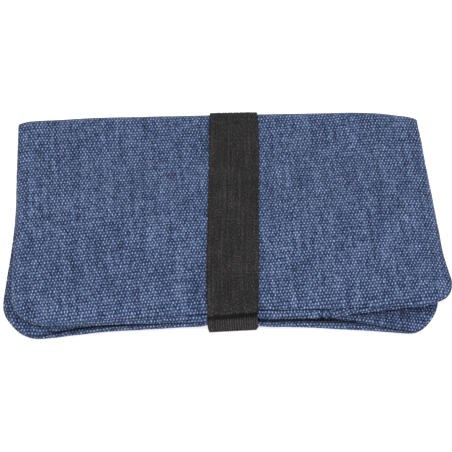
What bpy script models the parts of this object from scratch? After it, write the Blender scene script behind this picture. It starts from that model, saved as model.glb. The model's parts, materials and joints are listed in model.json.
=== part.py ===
"""Folding brush roll case: two padded canvas panels joined by a soft spine, closed by an elastic band.

Frame: +X along the case's width, -Y the open front edge, +Y the folded back edge, +Z up.
The origin is at the bottom centre. The case is closed, lying on its base panel.
Lengths are given in millimetres and scaled to metres where meshes are made.
"""

import math

import bmesh
import bpy
from mathutils import Vector

MM = 0.001

# Driving dimensions of the closed case.
WIDTH = 216.0            # panels, along X
PANEL_FRONT = -64.0      # free edge of both panels
PANEL_BACK = 60.7        # where the panels end
SPINE_START = 61.2       # where the spine's curve begins
CORNER_RADIUS = 24.0     # front corners of both panels
EDGE_ROLL = 3.0          # width of the rolled, bagged-out edge
EDGE_RISE = 0.55         # how far a canvas layer rolls towards its seam
ROLLED_INSET = 0.4       # a layer that turns down is cut smaller, so its fold ends at the outline

# Material thicknesses, and the gap that touching layers keep.
CANVAS = 0.9
FLEECE = 0.8
POCKET = 0.7
BINDING = 0.85
FLAP = 0.8
BAND = 0.9
TAPE = 0.4
THREAD = 0.3
GAP = 0.3

# Elastic band.
BAND_WIDTH = 25.0
BAND_X = 7.0             # the band sits a little right of the middle
BAND_LIFT = BAND + GAP   # how far the band under the case lifts the base panel
BAND_PRESS = 0.5         # share of the cover's crown that the band presses out
TAPE_WIDTH = 22.0
TAPE_HEIGHT = 4.5
TAPE_GAP = 0.5
TAIL_TOP = 12.5
TAPE_TOP = 12.1
STRAP_START = 58.2       # the strap lifts from here, and a short run behind it stays sewn down
SPINE_BAND_END = 82      # degrees round the spine, short of its top so that the cover can turn
STITCH = 0.6             # width of a thread line

# Pockets and flap.
POCKET_LEFT = -103.0
POCKET_MOUTH = 22.0
POCKET_FRONT = -58.0
POCKET_BACK = 54.0
POCKET_PUFF = 0.6
BASE_POCKETS = 4
COVER_POCKETS = 6
BINDING_WIDTH = 5.0
FLAP_ROOT = 103.2
FLAP_EDGE = 8.0
FLAP_FRONT = -57.0
FLAP_BACK = 53.0

CROWN = 2.0              # how far the cover domes between its edges

# Levels of the layers in the base panel, before the band lifts them.
BASE_FLEECE = CANVAS + GAP
BASE_LINING = BASE_FLEECE + FLEECE + GAP
BASE_POCKET = BASE_LINING + CANVAS + GAP
FLAP_HIGH = BASE_POCKET + BINDING + POCKET_PUFF + GAP
# Levels in the cover, before its crown lifts them.
COVER_POCKET = FLAP_HIGH + FLAP + BAND_LIFT + GAP + POCKET_PUFF
COVER_LINING = COVER_POCKET + POCKET + GAP
COVER_FLEECE = COVER_LINING + CANVAS + GAP
COVER_OUTER = COVER_FLEECE + FLEECE + GAP
FOLD_HEIGHT = COVER_OUTER + CANVAS
SPINE_RADIUS = FOLD_HEIGHT / 2

# Joint axes, as (x, y, z). The two spine hinges are placed so that the opened cover lies beside the
# base panel, one spine length away and UNROLLED_LIFT higher, to clear the strap beneath it.
UNROLLED_LIFT = 2.4
HINGE_REACH = 0.785 * SPINE_RADIUS
HINGE_LEVEL = 0.215 * SPINE_RADIUS
SPINE_HINGE = (0.0, SPINE_START + HINGE_REACH + UNROLLED_LIFT / 2, HINGE_LEVEL)
COVER_HINGE = (0.0, SPINE_START + HINGE_REACH - UNROLLED_LIFT / 2, FOLD_HEIGHT - HINGE_LEVEL)
STRAP_HINGE = (BAND_X, STRAP_START + GAP / 2, FOLD_HEIGHT + GAP + BAND + 0.1)
TAIL_HINGE = (BAND_X, PANEL_FRONT - GAP, BAND)
FLAP_HINGE = (FLAP_ROOT + GAP, 0.0, BASE_POCKET + FLAP / 2)

# Places of the band's layers in front of the panels, from the inside outwards, and of the lip.
TAIL_INNER = PANEL_FRONT - GAP
LOOP_INNER = TAIL_INNER - BAND - GAP
HOOK_INNER = LOOP_INNER - TAPE - TAPE_GAP
LIP_INNER = HOOK_INNER - TAPE - GAP
LIP_BOTTOM = TAPE_TOP - TAPE_HEIGHT
LIP_SEAM = LIP_BOTTOM + 2.2
HOOK_TOP = TAPE_TOP - 1.6
LIP_BEND = 3.0           # radius of the strap's turn over the front edge


def clear_scene():
    for obj in list(bpy.data.objects):
        bpy.data.objects.remove(obj)


def make_material(name, colour, roughness, metallic=0.0):
    material = bpy.data.materials.new(name)
    material.use_nodes = True
    shader = material.node_tree.nodes["Principled BSDF"]
    shader.inputs["Base Color"].default_value = (*colour, 1.0)
    shader.inputs["Roughness"].default_value = roughness
    shader.inputs["Metallic"].default_value = metallic
    return material


def smooth_step(t):
    t = max(0.0, min(1.0, t))
    return t * t * (3 - 2 * t)


def near_band(x):
    """1 under the band, falling to 0 beside it."""
    return 1 - smooth_step((abs(x - BAND_X) - BAND_WIDTH / 2 - 2) / 26)


def arch(x):
    """The base panel rises over the band that runs beneath it."""
    return BAND_LIFT * near_band(x)


def crown(x, y):
    """The cover domes from the fold towards the front, less where the band presses it."""
    along = (PANEL_BACK - y) / (PANEL_BACK - PANEL_FRONT)
    dome = CROWN * math.sin(0.62 * math.pi * along)
    return dome * (1 - 0.25 * (2 * x / WIDTH) ** 2) * (1 - BAND_PRESS * near_band(x))


def front_edge(x):
    """Y of a panel's free edge at x: straight, with a quarter circle at each corner."""
    past = abs(x) - (WIDTH / 2 - CORNER_RADIUS)
    if past <= 0:
        return PANEL_FRONT
    return PANEL_FRONT + CORNER_RADIUS - math.sqrt(max(0.0, CORNER_RADIUS**2 - past**2))


def edge_distance(x, y):
    """Distance from a point of a panel to its nearest free edge."""
    side = WIDTH / 2 - abs(x)
    front = y - PANEL_FRONT
    if side < CORNER_RADIUS and front < CORNER_RADIUS:
        return max(0.0, CORNER_RADIUS - math.hypot(CORNER_RADIUS - side, CORNER_RADIUS - front))
    return max(0.0, min(side, front))


def edge_roll(x, y):
    """0 inside a panel, rising along a quarter ellipse to EDGE_RISE at its free edges."""
    t = max(0.0, 1 - edge_distance(x, y) / EDGE_ROLL)
    return EDGE_RISE * (1 - math.sqrt(1 - t * t))


def clear_corner(x, y):
    """Moves Y back near a front corner, so that what lies in the panel follows its rounded outline."""
    rise = front_edge(x) - PANEL_FRONT
    return y + rise * max(0.0, 1 - (y - PANEL_FRONT) / 40)


def spaced(start, end, count):
    return [start + (end - start) * i / (count - 1) for i in range(count)]


def puff(x, y, pockets):
    """How far a pocket stands off the lining: 0 on its stitch lines and at its closed end."""
    across = (y - POCKET_FRONT) / (POCKET_BACK - POCKET_FRONT) * pockets
    return POCKET_PUFF * math.sin(math.pi * across) ** 2 * smooth_step((x - POCKET_LEFT) / 14)


def lattice(name, material, us, vs, point, thickness, keep=None):
    """A sheet over the grid us by vs, thickened along its normals to one closed body.

    point(u, v) gives each grid point in millimetres, and keep(i, j) says which cells exist.
    A negative thickness goes against the normal, whose side is that of u crossed with v.
    """
    mesh = bpy.data.meshes.new(name)
    grid = bmesh.new()
    corners = [[grid.verts.new([c * MM for c in point(u, v)]) for v in vs] for u in us]
    for i in range(len(us) - 1):
        for j in range(len(vs) - 1):
            if keep is None or keep(i, j):
                ring = (corners[i][j], corners[i + 1][j], corners[i + 1][j + 1], corners[i][j + 1])
                grid.faces.new(ring)
    loose = [v for v in grid.verts if not v.link_faces]
    bmesh.ops.delete(grid, geom=loose, context="VERTS")
    grid.to_mesh(mesh)
    grid.free()
    obj = bpy.data.objects.new(name, mesh)
    bpy.context.scene.collection.objects.link(obj)
    obj.data.materials.append(material)
    solidify = obj.modifiers.new("Thickness", "SOLIDIFY")
    solidify.thickness = abs(thickness) * MM
    solidify.offset = 1.0 if thickness > 0 else -1.0
    solidify.use_even_offset = True
    mesh.shade_smooth()
    mesh.set_sharp_from_angle(angle=math.radians(40))
    return obj


def panel_columns():
    """X of the grid lines of a panel: close together over the rolled edge and the corners."""
    half = WIDTH / 2
    turns = [half - CORNER_RADIUS * (1 - math.sin(math.radians(a))) for a in (0, 30, 52, 70, 90)]
    turns.insert(-1, half - 1.0)
    left = [-x for x in reversed(turns)]
    band = [BAND_X + s for s in (-40, -28, -18, -14, 0, 14, 18, 28, 40)]
    return left + [-60.0] + band + [68.0] + turns


def panel_rows():
    """Shares of a panel's depth: close together at the rolled front edge."""
    return [0.0, 0.008, 0.024, 0.09, 0.22, 0.42, 0.62, 0.82, 1.0]


def panel_layer(name, material, level, thickness, lift, roll):
    """One canvas layer of a panel. roll is 1 if its free edges turn up, and -1 if down."""
    inset = 0.0 if roll > 0 else ROLLED_INSET

    def point(x, share):
        y = front_edge(x) + share * (PANEL_BACK - front_edge(x))
        z = level + lift(x, y) + roll * edge_roll(x, y)
        return x * (1 - 2 * inset / WIDTH), y + inset * (1 - share), z

    return lattice(name, material, panel_columns(), panel_rows(), point, thickness)


def fleece_layer(name, material, level, lift):
    """The flat wadding inside a panel, clear of its rolled edges."""
    inset = EDGE_ROLL + 1.5
    half = WIDTH / 2 - inset
    cut = 14.0
    columns = [-half, -half + cut, -60.0, -33.0, -7.0, 21.0, 47.0, 70.0, half - cut, half]

    def point(x, share):
        start = PANEL_FRONT + inset + max(0.0, abs(x) - (half - cut))
        y = start + share * (PANEL_BACK - 0.2 - start)
        return x, y, level + lift(x, y)

    return lattice(name, material, columns, spaced(0, 1, 6), point, FLEECE)


def pocket_set(side, materials, level, lift, pockets, outward):
    """Pocket panel, the binding of its mouths and its stitching, on one panel's lining.

    outward is 1 where the pockets stand up from the lining, and -1 where they hang from it.
    """
    canvas, binding, thread = materials
    rows = spaced(POCKET_FRONT, POCKET_BACK, 4 * pockets + 1)
    reach = [POCKET_LEFT, -96.0, -89.0, -33.0, -20.0, -7.0, 8.0, POCKET_MOUTH]

    def point(x, y):
        return x, clear_corner(x, y), level + lift(x, y) + outward * puff(x, y, pockets)

    panel = lattice(side + "_pocket_panel", canvas, reach, rows, point, POCKET)
    mouth = [POCKET_MOUTH + GAP, POCKET_MOUTH + GAP + BINDING_WIDTH]

    def mouth_point(x, y):
        slack = 0.0 if outward > 0 else POCKET - BINDING
        return x, y, level + lift(x, y) + outward * puff(x, y, pockets) + slack

    edge = lattice(side + "_pocket_binding", binding, mouth, rows, mouth_point, BINDING)

    # One continuous thread: a line up the closed end, and a line between each two pockets.
    pitch = (POCKET_BACK - POCKET_FRONT) / pockets
    lines = [POCKET_FRONT + 1.5]
    for i in range(1, pockets):
        lines += [POCKET_FRONT + i * pitch - STITCH / 2, POCKET_FRONT + i * pitch + STITCH / 2]
    lines.append(POCKET_BACK - 1.5)
    run = [POCKET_LEFT + 0.9, POCKET_LEFT + 0.9 + STITCH] + reach[1:-1] + [POCKET_MOUTH - 1.0]
    above = POCKET + GAP if outward > 0 else -GAP

    def thread_point(x, y):
        return x, clear_corner(x, y), level + lift(x, y) + above

    def on_a_line(i, j):
        return i == 0 or j % 2 == 1

    name = side + "_pocket_stitching"
    stitches = lattice(name, thread, run, lines, thread_point, outward * THREAD, on_a_line)
    return [panel, edge, stitches]


def spine_shell(name, material, depth, thickness):
    """A half-round layer of the spine, depth under its outside. It is squeezed where the band is."""

    def point(x, angle):
        radius = SPINE_RADIUS - arch(x) / 2 - depth
        middle = SPINE_RADIUS + arch(x) / 2
        return x, SPINE_START + radius * math.sin(angle), middle - radius * math.cos(angle)

    half = WIDTH / 2
    columns = [-half, -60.0] + [BAND_X + s for s in (-40, -28, -14, 14, 28, 40)] + [68.0, half]
    return lattice(name, material, columns, spaced(0, math.pi, 11), point, thickness)


def band_run(name, material, path, thickness, width=BAND_WIDTH):
    """A flat band along path, whose points are (y, z). The thickness goes to the left of the path."""
    half = width / 2

    def point(index, x):
        y, z = path[index]
        return x, y, z

    return lattice(name, material, range(len(path)), [BAND_X - half, BAND_X + half], point, -thickness)


def arc(centre, radius, start, end, count):
    """Points (y, z) on a circle. Angles are in degrees from +Y towards +Z."""
    angles = [math.radians(a) for a in spaced(start, end, count)]
    return [(centre[0] + radius * math.cos(a), centre[1] + radius * math.sin(a)) for a in angles]


def band_top(y):
    """Underside of the band where it lies on the cover."""
    return FOLD_HEIGHT + crown(BAND_X, y) + GAP


def build_base(canvas, lining, fleece, binding, thread, elastic):
    def lift(x, y):
        return arch(x)

    outer = panel_layer("base_outer", canvas, 0.0, CANVAS, lift, 1)
    interlining = fleece_layer("base_interlining", fleece, BASE_FLEECE, lift)
    inner = panel_layer("base_lining", lining, BASE_LINING, CANVAS, lift, -1)
    pockets = pocket_set("base", (lining, binding, thread), BASE_POCKET, lift, BASE_POCKETS, 1)
    under = [(TAIL_INNER + 0.7, 0.0), (0.0, 0.0), (PANEL_BACK - 0.2, 0.0)]
    band = band_run("band_lower_run", elastic, under, BAND)
    return [outer, interlining, inner, *pockets, band]


def build_spine(canvas, lining, fleece, thread, elastic):
    outer = spine_shell("spine_outer", canvas, 0.0, CANVAS)
    interlining = spine_shell("spine_interlining", fleece, BASE_FLEECE, FLEECE)
    inner = spine_shell("spine_lining", lining, BASE_LINING, CANVAS)
    centre = (SPINE_START, SPINE_RADIUS + BAND_LIFT / 2)
    inside = SPINE_RADIUS - BAND_LIFT / 2 + GAP
    band = band_run("band_spine_run", elastic, arc(centre, inside, -90, SPINE_BAND_END, 13), -BAND)

    # A stitched frame holds the band to the spine.
    radius = inside + BAND + GAP
    across = [BAND_X + s for s in (-9.0, -9.0 + STITCH, 9.0 - STITCH, 9.0)]
    around = [math.radians(a) for a in (-34, -28, 0, 28, 34)]

    def point(x, angle):
        return x, centre[0] + radius * math.cos(angle), centre[1] + radius * math.sin(angle)

    def on_the_frame(i, j):
        return not (i == 1 and j in (1, 2))

    frame = lattice("band_anchor_stitching", thread, across, around, point, -THREAD, on_the_frame)
    return [outer, interlining, inner, band, frame]


def build_cover(canvas, lining, fleece, binding, thread, elastic):
    pockets = pocket_set("cover", (lining, binding, thread), COVER_POCKET, crown, COVER_POCKETS, -1)
    inner = panel_layer("cover_lining", lining, COVER_LINING, CANVAS, crown, 1)
    interlining = fleece_layer("cover_interlining", fleece, COVER_FLEECE, crown)
    outer = panel_layer("cover_outer", canvas, COVER_OUTER, CANVAS, crown, -1)
    sewn = [(y, band_top(y)) for y in (PANEL_BACK - 0.2, STRAP_START + GAP)]
    band = band_run("band_cover_run", elastic, sewn, -BAND)
    return [*pockets, inner, interlining, outer, band]


def build_strap(elastic, thread, tape):
    """The band over the cover, its hemmed lip, and the hook tape inside the lip."""
    bend_start = LIP_INNER + LIP_BEND
    flat = [(y, band_top(y)) for y in (STRAP_START, 40.0, 20.0, 0.0, -20.0, -40.0, bend_start + GAP)]
    upper = band_run("strap_upper_run", elastic, flat, -BAND)
    top = band_top(bend_start)
    turn = arc((bend_start, top - LIP_BEND), LIP_BEND, 90, 180, 8)
    hem = band_run("strap_end_hem", elastic, turn + [(LIP_INNER, LIP_BOTTOM)], -BAND)
    behind = [(HOOK_INNER, LIP_BOTTOM), (HOOK_INNER, HOOK_TOP)]
    hook = band_run("hook_tape", tape, behind, TAPE, TAPE_WIDTH)
    face = LIP_INNER - BAND - GAP
    seam = [(face, LIP_SEAM), (face, LIP_SEAM + STITCH)]
    stitches = band_run("strap_hem_stitching", thread, seam, THREAD, TAPE_WIDTH)
    return [upper, hem, hook, stitches]


def build_tail(elastic, tape):
    """The ribbed elastic that rises in front of the panels, and the loop tape on it."""
    tail = band_run("elastic_tail", elastic, [(TAIL_INNER, GAP), (TAIL_INNER, TAIL_TOP)], BAND)
    face = [(LOOP_INNER, LIP_BOTTOM), (LOOP_INNER, TAPE_TOP)]
    loop = band_run("loop_tape", tape, face, TAPE, TAPE_WIDTH)
    return [tail, loop]


def build_flap(lining, binding):
    """The guard flap over the brush heads: sewn down at the right, it steps up onto the pockets."""

    def point(x, y):
        step = smooth_step((40.0 - x) / 10.0)
        z = BASE_POCKET + (FLAP_HIGH - BASE_POCKET) * step + arch(x)
        return x, clear_corner(x, y), z

    rows = spaced(FLAP_FRONT, FLAP_BACK, 5)
    columns = [FLAP_EDGE, 18.0, 24.0, 30.0, 33.0, 37.0, 40.0, 48.0, 75.0, 90.0, 97.0, FLAP_ROOT]
    flap = lattice("guard_flap", lining, columns, rows, point, FLAP)
    edge = [FLAP_EDGE - GAP - BINDING_WIDTH, FLAP_EDGE - GAP]
    trim = lattice("flap_binding", binding, edge, rows, point, FLAP)
    return [flap, trim]


def hang(name, place, objects, parent=None):
    """An empty on a joint's axis, which carries the objects of the body that turns there."""
    hinge = bpy.data.objects.new(name, None)
    bpy.context.scene.collection.objects.link(hinge)
    centre = Vector(place) * MM
    hinge.location = centre
    if parent:
        hinge.parent = parent[0]
        hinge.location = centre - parent[1]
    for obj in objects:
        obj.parent = hinge
        obj.location = -centre
    return hinge, centre


def main():
    clear_scene()
    canvas = make_material("denim_canvas", (0.082, 0.118, 0.220), 0.88)
    lining = make_material("denim_lining", (0.070, 0.102, 0.190), 0.90)
    fleece = make_material("wadding", (0.62, 0.61, 0.58), 0.95)
    elastic = make_material("black_elastic", (0.032, 0.030, 0.031), 0.72)
    binding = make_material("binding_tape", (0.030, 0.036, 0.060), 0.80)
    tape = make_material("hook_and_loop", (0.020, 0.020, 0.021), 0.85)
    thread = make_material("navy_thread", (0.050, 0.070, 0.140), 0.60)
    black_thread = make_material("black_thread", (0.018, 0.017, 0.018), 0.55)

    build_base(canvas, lining, fleece, binding, thread, elastic)
    spine = hang("spine_hinge", SPINE_HINGE, build_spine(canvas, lining, fleece, black_thread, elastic))
    cover_pieces = build_cover(canvas, lining, fleece, binding, thread, elastic)
    cover = hang("cover_hinge", COVER_HINGE, cover_pieces, spine)
    hang("strap_hinge", STRAP_HINGE, build_strap(elastic, black_thread, tape), cover)
    hang("tail_hinge", TAIL_HINGE, build_tail(elastic, tape))
    hang("flap_hinge", FLAP_HINGE, build_flap(lining, binding))


main()
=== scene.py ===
"""Looks of the folded brush roll case: two padded denim panels, their pockets and flap, and the elastic band.

Lengths are in millimetres until a mesh is made. +X is right, -Y the open front, +Z up.
"""
import json
import math

import bpy
import numpy as np
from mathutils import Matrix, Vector, noise

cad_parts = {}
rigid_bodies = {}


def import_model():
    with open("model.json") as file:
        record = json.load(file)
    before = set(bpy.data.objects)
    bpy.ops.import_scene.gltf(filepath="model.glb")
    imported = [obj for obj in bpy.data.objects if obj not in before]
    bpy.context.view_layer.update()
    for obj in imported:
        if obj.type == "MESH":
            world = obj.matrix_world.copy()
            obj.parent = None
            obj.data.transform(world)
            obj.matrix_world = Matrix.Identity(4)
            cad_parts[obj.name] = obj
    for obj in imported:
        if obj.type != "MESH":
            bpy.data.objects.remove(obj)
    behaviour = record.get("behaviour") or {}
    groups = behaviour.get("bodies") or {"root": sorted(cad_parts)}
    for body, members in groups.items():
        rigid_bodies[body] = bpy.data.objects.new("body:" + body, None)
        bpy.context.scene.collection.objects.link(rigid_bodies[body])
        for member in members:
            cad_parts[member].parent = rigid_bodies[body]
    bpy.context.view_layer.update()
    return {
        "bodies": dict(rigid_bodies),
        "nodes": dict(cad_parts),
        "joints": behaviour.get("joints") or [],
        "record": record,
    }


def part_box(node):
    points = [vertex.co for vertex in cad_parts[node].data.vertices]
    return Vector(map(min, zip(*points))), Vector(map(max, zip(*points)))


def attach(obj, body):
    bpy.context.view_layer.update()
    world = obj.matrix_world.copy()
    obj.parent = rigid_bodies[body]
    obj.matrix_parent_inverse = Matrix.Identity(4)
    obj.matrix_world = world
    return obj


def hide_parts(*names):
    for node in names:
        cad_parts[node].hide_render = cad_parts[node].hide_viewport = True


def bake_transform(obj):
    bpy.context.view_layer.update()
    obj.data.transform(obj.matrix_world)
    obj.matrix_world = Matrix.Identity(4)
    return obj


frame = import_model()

MM = 0.001


def cad_box(node):
    """Lowest and highest corner of a CAD node, in millimetres."""
    low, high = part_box(node)
    return np.array(low) / MM, np.array(high) / MM


# Places read from the frame.
BASE_LOW, BASE_HIGH = cad_box("base_outer")
SPINE_LOW, _ = cad_box("spine_outer")
BAND_LOW, BAND_HIGH = cad_box("strap_upper_run")
HALF = (BASE_HIGH[0] - BASE_LOW[0]) / 2      # half the panels' width
FRONT = BASE_LOW[1]                          # the panels' free edge
FOLD = SPINE_LOW[1] + 0.6                    # where the panels turn into the spine
BAND_X = (BAND_LOW[0] + BAND_HIGH[0]) / 2
BAND_HALF = 12.7                             # half the elastic's width

# The soft shape of the closed case.
CORNER = 19.0            # radius of the front corners
MIDDLE = 6.1             # height between the two panels at the fold
SEAM_BEND = 3.5          # radius at which the seam goes round the fold
RINGS = [0, 0.15, 0.4, 0.8, 1.4, 2.2, 3.2, 4.5, 6.0, 7.7, 9.8, 12.3, 15.2]
STEP = 2.6               # spacing of the cloth's grid
CORNER_STEPS = 16
FOLD_STEPS = 8
CLOTH = 0.8              # thickness of the canvas
WARP = 0.82              # spacing of its warp threads
WEFT = 1.77              # and of its thicker weft
TUCK = 45.0              # where the cover's lining is caught in two small tucks
TUCK_FINE = 5.4          # half the width of the finer grid there


def smooth(t):
    t = np.clip(t, 0.0, 1.0)
    return t * t * (3 - 2 * t)


def through(x, *knots):
    """A smooth curve through (position, value) knots, constant beyond the first and the last."""
    places, values = np.array(knots, float).T
    x = np.clip(x, places[0], places[-1])
    i = np.clip(np.searchsorted(places, x, side="right") - 1, 0, len(places) - 2)
    slopes = np.gradient(values, places)
    width = places[i + 1] - places[i]
    t = (x - places[i]) / width
    bow = slopes[i] * t * (1 - t) ** 2 - slopes[i + 1] * t**2 * (1 - t)
    return values[i] + (values[i + 1] - values[i]) * smooth(t) + width * bow


def ripple(x, y, size, seed):
    """Smooth noise from -1 to 1 over points of the cloth, with features about size across."""
    return np.array([noise.noise(Vector((a / size, b / size, seed))) for a, b in zip(x, y)])


def near_band(x, shoulder=22.0):
    return 1 - smooth((np.abs(x - BAND_X) - BAND_HALF) / shoulder)


# ---- the panels' grid


class Net:
    """The grid of one panel and its half of the spine, laid flat.

    Its points have a place (x, y), a turn round the fold, a distance in from the free edge, and the
    direction out of that edge. Rings follow the rounded edge, and rows run across the middle.
    """

    def __init__(self):
        self.points, self.faces = [], []
        inner = np.linspace(-HALF + CORNER, HALF - CORNER, round(2 * (HALF - CORNER) / STEP))
        inner = inner[np.abs(inner - TUCK) > TUCK_FINE + 0.6]
        inner = np.sort(np.concatenate([inner, TUCK + np.linspace(-TUCK_FINE, TUCK_FINE, 15)]))
        count = round((FOLD - FRONT - CORNER) / STEP)
        rows = [(y, 0.0) for y in np.linspace(FRONT + CORNER, FOLD, count)]
        rows += [(FOLD, math.pi / 2 * i / FOLD_STEPS) for i in range(1, FOLD_STEPS + 1)]

        grid = []
        for y, turn in rows:
            left = [self.add(-HALF + d, y, turn, d, (-1, 0)) for d in RINGS]
            middle = [self.add(x, y, turn, HALF - abs(x), (math.copysign(1, x), 0)) for x in inner]
            right = [self.add(HALF - d, y, turn, d, (1, 0)) for d in reversed(RINGS)]
            grid.append(left + middle + right)
        self.quads(grid)
        edge = len(RINGS)
        self.spokes = [row[:edge][::-1] for row in grid] + [row[-edge:] for row in grid]

        # The front edge, ring by ring, each starting and ending in the first row's own points.
        front = []
        for k, d in enumerate(RINGS):
            ring = [grid[0][k]]
            ring += [self.corner(-1, d, i) for i in range(1, CORNER_STEPS)]
            ring += [self.add(x, FRONT + d, 0.0, d, (0, -1)) for x in inner]
            ring += [self.corner(1, d, i) for i in range(1, CORNER_STEPS)]
            ring.append(grid[0][-1 - k])
            front.append(ring)
        self.quads(front)
        self.spokes += [list(spoke)[::-1] for spoke in zip(*[ring[1:-1] for ring in front])]
        last = front[-1]
        middle = grid[0][edge:-edge]
        for i in range(CORNER_STEPS):
            self.faces.append((last[i], last[i + 1], middle[0]))
            self.faces.append((last[-2 - i], last[-1 - i], middle[-1]))
        self.quads([last[CORNER_STEPS:-CORNER_STEPS], middle])

        table = np.array(self.points, float)
        self.x, self.y, self.turn, self.inset = table[:, :4].T.copy()
        self.out = table[:, 4:]

    def add(self, x, y, turn, inset, out):
        self.points.append((x, y, turn, inset, *out))
        return len(self.points) - 1

    def corner(self, side, inset, step):
        angle = math.radians(90 * step / CORNER_STEPS)
        if side > 0:
            angle = math.pi / 2 - angle
        out = (side * math.cos(angle), -math.sin(angle))
        x = side * (HALF - CORNER) + (CORNER - inset) * out[0]
        y = FRONT + CORNER + (CORNER - inset) * out[1]
        return self.add(x, y, 0.0, inset, out)

    def quads(self, lines):
        for a, b in zip(lines, lines[1:]):
            self.faces += [(a[i], a[i + 1], b[i + 1], b[i]) for i in range(len(a) - 1)]


NET = Net()


class Spots:
    """Any points of a panel laid flat, with what Net gives for its own."""

    def __init__(self, x, y, turn=0.0):
        x, y, turn = np.broadcast_arrays(np.asarray(x, float), np.asarray(y, float), np.asarray(turn, float))
        self.x, self.y, self.turn = x.ravel(), y.ravel(), turn.ravel()
        side = HALF - np.abs(self.x)
        front = self.y - FRONT
        reach = np.maximum(np.hypot(CORNER - side, CORNER - front), 1e-6)
        corner = (side < CORNER) & (front < CORNER)
        self.inset = np.where(corner, CORNER - reach, np.minimum(side, front))
        across = np.where(corner, (CORNER - side) / reach, side < front) * np.sign(self.x)
        down = np.where(corner, (CORNER - front) / reach, side >= front)
        self.out = np.stack([across, -down], 1)


# ---- the panels' soft shapes


def fold_line(x):
    """How far the fold stands back from the straight line, which its ends fall short of."""
    return through(
        x, (-105, -1.5), (-98, -0.8), (-88, -0.5), (-70, 0.4), (-45, 0.75), (-10, 0.95),
        (25, 1.15), (55, 1.1), (75, 1.35), (88, 0.4), (97, -1.2), (105, -2.6),
    )


def forward(y):
    """0 at the fold, 1 at the front edge."""
    return np.clip((FOLD - y) / (FOLD - FRONT), 0, 1)


def crease(inset, width):
    """How far the cloth tucks in at the seam, where two rolled edges meet."""
    return np.clip(1 - inset / width, 0, 1) ** 1.5


def rolled(inset, width):
    """The rounded rise of the cloth from the seam: 0 there, 1 from width inwards."""
    t = np.clip(1 - (inset + 0.03) / width, 0, 1)
    return np.sqrt(np.clip(1 - t * t, 0, 1))


def bell(x, centre, width):
    """1 at the centre, and falling off over about the width on both sides."""
    return np.exp(-(((x - centre) / width) ** 2))


def puckers(net, side):
    """Small gathers that the seam pulls into the cloth beside it."""
    along = np.where(np.abs(net.out[:, 0]) > 0.7, net.y, net.x)
    wave = ripple(along, net.inset * 0.35, 5.5, 3.1 + side) + 0.5 * ripple(along, net.inset, 2.8, 7.7 + side)
    return wave * bell(net.inset, 2.2, 2.6)


class Panel:
    """Places of a panel's seam surface, its outer cloth and its lining."""

    def plan(self, net):
        """x and y of the panel's points once the case lies closed, before the cloth's own roll."""
        f = forward(net.y)
        left, right = through(f, *self.left), through(f, *self.right)
        x = (right - left) / 2 + net.x / HALF * (right + left) / 2
        y = net.y + self.front_pull(net.x) * f**2 + fold_line(net.x) * (1 - f) ** 2
        return x, y, f

    def round_fold(self, net, x, y, outer, seam, inner):
        """The seam, outer and inner surfaces, carried round the panel's half of the fold."""
        s, c = np.sin(net.turn), np.cos(net.turn)
        t = net.turn / (math.pi / 2)
        turned = net.turn > 0
        places = []
        for level in (seam, outer):
            reach = np.abs(MIDDLE - level)
            back = np.where(turned, y + reach * s, y)
            places.append(np.stack([x, back, np.where(turned, MIDDLE + self.sign * reach * c, level)], 1))
        pleat = y + 3.0 * np.sin(math.pi * t) * (1 - 0.2 * t) - 2.0 * t**2
        rise = np.where(turned, inner + (MIDDLE - inner) * t, inner)
        places.append(np.stack([x, np.where(turned, pleat, y), rise], 1))
        return places

    def layers(self, net):
        """Points of the outer cloth and of the lining."""
        x, y, f = self.plan(net)
        seam, outer, inner = self.round_fold(net, x, y, *self.heights(net, x, f))
        out = np.concatenate([net.out, np.zeros((len(x), 1))], 1)
        made = []
        rolls = (outer, *self.outer_roll(net)), (inner, *self.inner_roll(net))
        for k, (surface, width, bulge) in enumerate(rolls):
            off_seam = smooth(net.inset / 0.4)
            tuck = -out * (self.seam_depth(net) * crease(net.inset, self.seam_width[k]))[:, None]
            rise = rolled(net.inset - self.ledge[k], width)[:, None]
            tuck[:, 2] = self.seam_puff(net)[k] * off_seam * (1 - rise[:, 0])
            push = out * (bulge * bell(net.inset, 1.7, 1.8) * off_seam)[:, None]
            made.append(seam + (surface - seam) * rise + tuck + push)
        return made


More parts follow.
